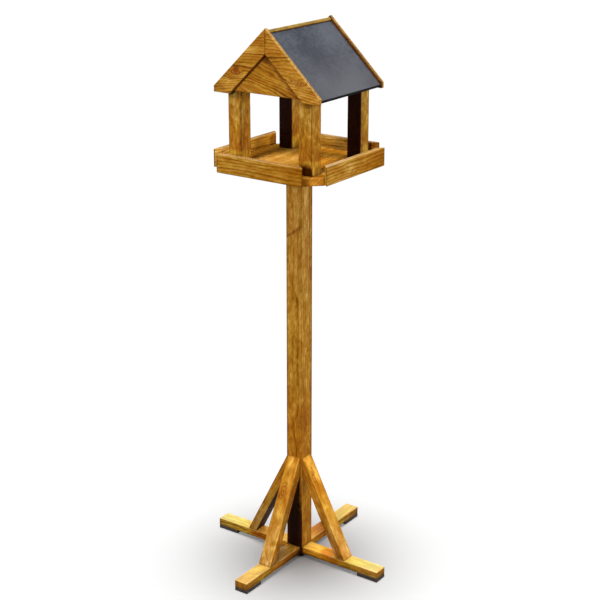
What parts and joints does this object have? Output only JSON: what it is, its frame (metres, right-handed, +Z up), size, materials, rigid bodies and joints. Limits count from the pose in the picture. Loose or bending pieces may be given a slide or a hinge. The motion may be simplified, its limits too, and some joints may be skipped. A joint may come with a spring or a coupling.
{
  "type": "bird table",
  "caption": "Free-standing wooden bird table: pitched slate roof on posts over a rimmed tray with open corners, on a square pole with braced cross feet.",
  "frame": {"origin": "on the ground under the middle of the pole", "axes": "+Z up along the pole, -Y towards the front gable, +X towards the right-hand slate"},
  "size_m": [0.52, 0.52, 1.424],
  "materials": {
    "timber": "honey-coloured stain on planed softwood, satin, with dark grain lines and knots",
    "pale_timber": "bare pale softwood",
    "slate": "natural riven slate, blue-grey, dull",
    "rubber": "dull dark grey",
    "steel": "zinc-plated"
  },
  "bodies": {
    "root": {"bargeboard_left_back": "timber", "bargeboard_left_front": "timber", "bargeboard_right_back": "timber", "bargeboard_right_front": "timber", "brace_back": "timber", "brace_front": "timber", "brace_left": "timber", "brace_nail_back": "steel", "brace_nail_front": "steel", "brace_nail_left": "steel", "brace_nail_right": "steel", "brace_right": "timber", "eaves_rail_left": "timber", "eaves_rail_right": "timber", "foot_back": "timber", "foot_front": "timber", "foot_left": "timber", "foot_pad_back": "rubber", "foot_pad_front": "rubber", "foot_pad_left": "rubber", "foot_pad_right": "rubber", "foot_right": "timber", "foot_screw_back": "steel", "foot_screw_front": "steel", "foot_screw_left": "steel", "foot_screw_right": "steel", "gable_back": "timber", "gable_front": "timber", "gable_screw_left_back": "steel", "gable_screw_left_front": "steel", "gable_screw_right_back": "steel", "gable_screw_right_front": "steel", "head_screw_left": "steel", "head_screw_right": "steel", "pole": "timber", "post_screw_left_back": "steel", "post_screw_left_front": "steel", "post_screw_right_back": "steel", "post_screw_right_front": "steel", "ridge_batten": "timber", "ridge_bead": "pale_timber", "roof_post_left_back": "timber", "roof_post_left_front": "timber", "roof_post_right_back": "timber", "roof_post_right_front": "timber", "roof_slate_left": "slate", "roof_slate_right": "slate", "socket_batten_back": "timber", "socket_batten_front": "timber", "socket_batten_left": "timber", "socket_batten_right": "timber", "tray_floor": "timber", "tray_rim_back": "timber", "tray_rim_front": "timber", "tray_rim_left": "timber", "tray_rim_right": "timber"}
  },
  "joints": []
}
